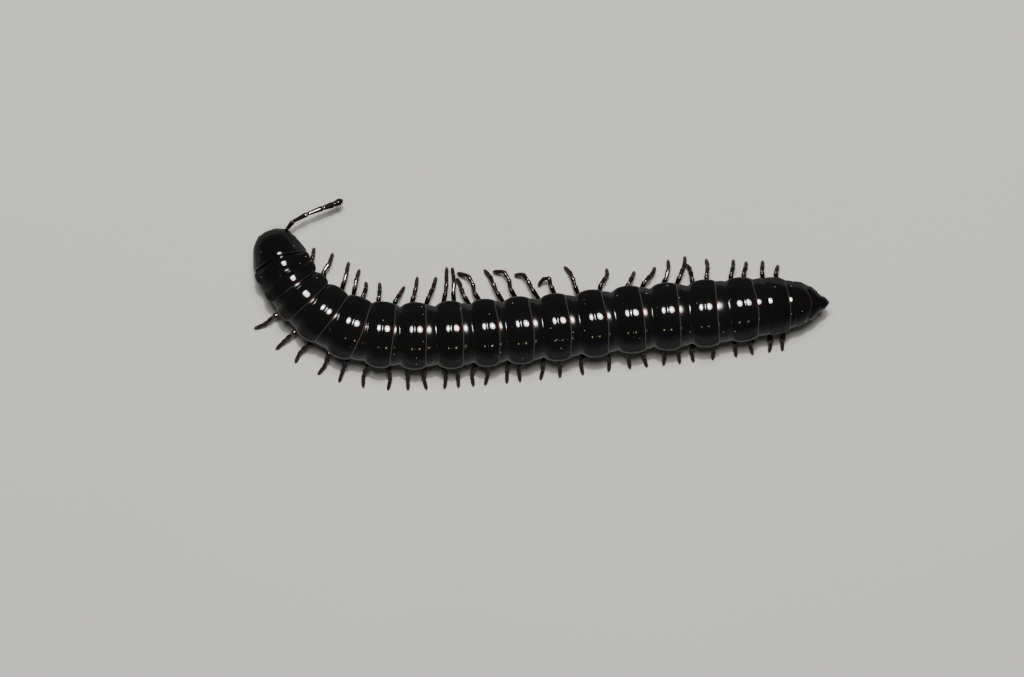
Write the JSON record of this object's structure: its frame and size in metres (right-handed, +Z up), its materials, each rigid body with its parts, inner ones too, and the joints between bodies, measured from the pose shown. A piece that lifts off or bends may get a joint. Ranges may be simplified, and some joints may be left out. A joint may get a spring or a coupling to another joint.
{
  "type": "notodesmus millipede",
  "caption": "Life-size still model of a black flat-backed millipede, walking with its front end curled to its right, with head, collum, body rings, telson, antennae and legs.",
  "frame": {"origin": "on the floor, under the middle of the bounding box", "axes": "+X from the head end to the tail, +Y to the animal's right side, +Z up from the floor"},
  "size_m": [0.0364, 0.0123, 0.0049],
  "materials": {
    "cuticle": "glossy near-black shell",
    "leg_cuticle": "glossy dark reddish brown",
    "antenna_cuticle": "satin brown-black with fine down"
  },
  "bodies": {
    "root": {"head": "cuticle", "collum": "cuticle", "ring_02": "cuticle", "ring_03": "cuticle", "ring_04": "cuticle", "ring_05": "cuticle", "ring_06": "cuticle", "ring_07": "cuticle", "ring_08": "cuticle", "ring_09": "cuticle", "ring_10": "cuticle", "ring_11": "cuticle", "ring_12": "cuticle", "ring_13": "cuticle", "ring_14": "cuticle", "ring_15": "cuticle", "ring_16": "cuticle", "ring_17": "cuticle", "ring_18": "cuticle", "ring_19": "cuticle", "telson": "cuticle", "antenna_left": "antenna_cuticle", "antenna_right": "antenna_cuticle", "leg_pair_01": "leg_cuticle", "leg_pair_02": "leg_cuticle", "leg_pair_03": "leg_cuticle", "leg_pair_04": "leg_cuticle", "leg_pair_05": "leg_cuticle", "leg_pair_06": "leg_cuticle", "leg_pair_07": "leg_cuticle", "leg_pair_08": "leg_cuticle", "leg_pair_09": "leg_cuticle", "leg_pair_10": "leg_cuticle", "leg_pair_11": "leg_cuticle", "leg_pair_12": "leg_cuticle", "leg_pair_13": "leg_cuticle", "leg_pair_14": "leg_cuticle", "leg_pair_15": "leg_cuticle", "leg_pair_16": "leg_cuticle", "leg_pair_17": "leg_cuticle", "leg_pair_18": "leg_cuticle", "leg_pair_19": "leg_cuticle", "leg_pair_20": "leg_cuticle", "leg_pair_21": "leg_cuticle", "leg_pair_22": "leg_cuticle", "leg_pair_23": "leg_cuticle", "leg_pair_24": "leg_cuticle", "leg_pair_25": "leg_cuticle", "leg_pair_26": "leg_cuticle", "leg_pair_27": "leg_cuticle", "leg_pair_28": "leg_cuticle", "leg_pair_29": "leg_cuticle", "leg_pair_30": "leg_cuticle", "leg_pair_31": "leg_cuticle"}
  },
  "joints": []
}
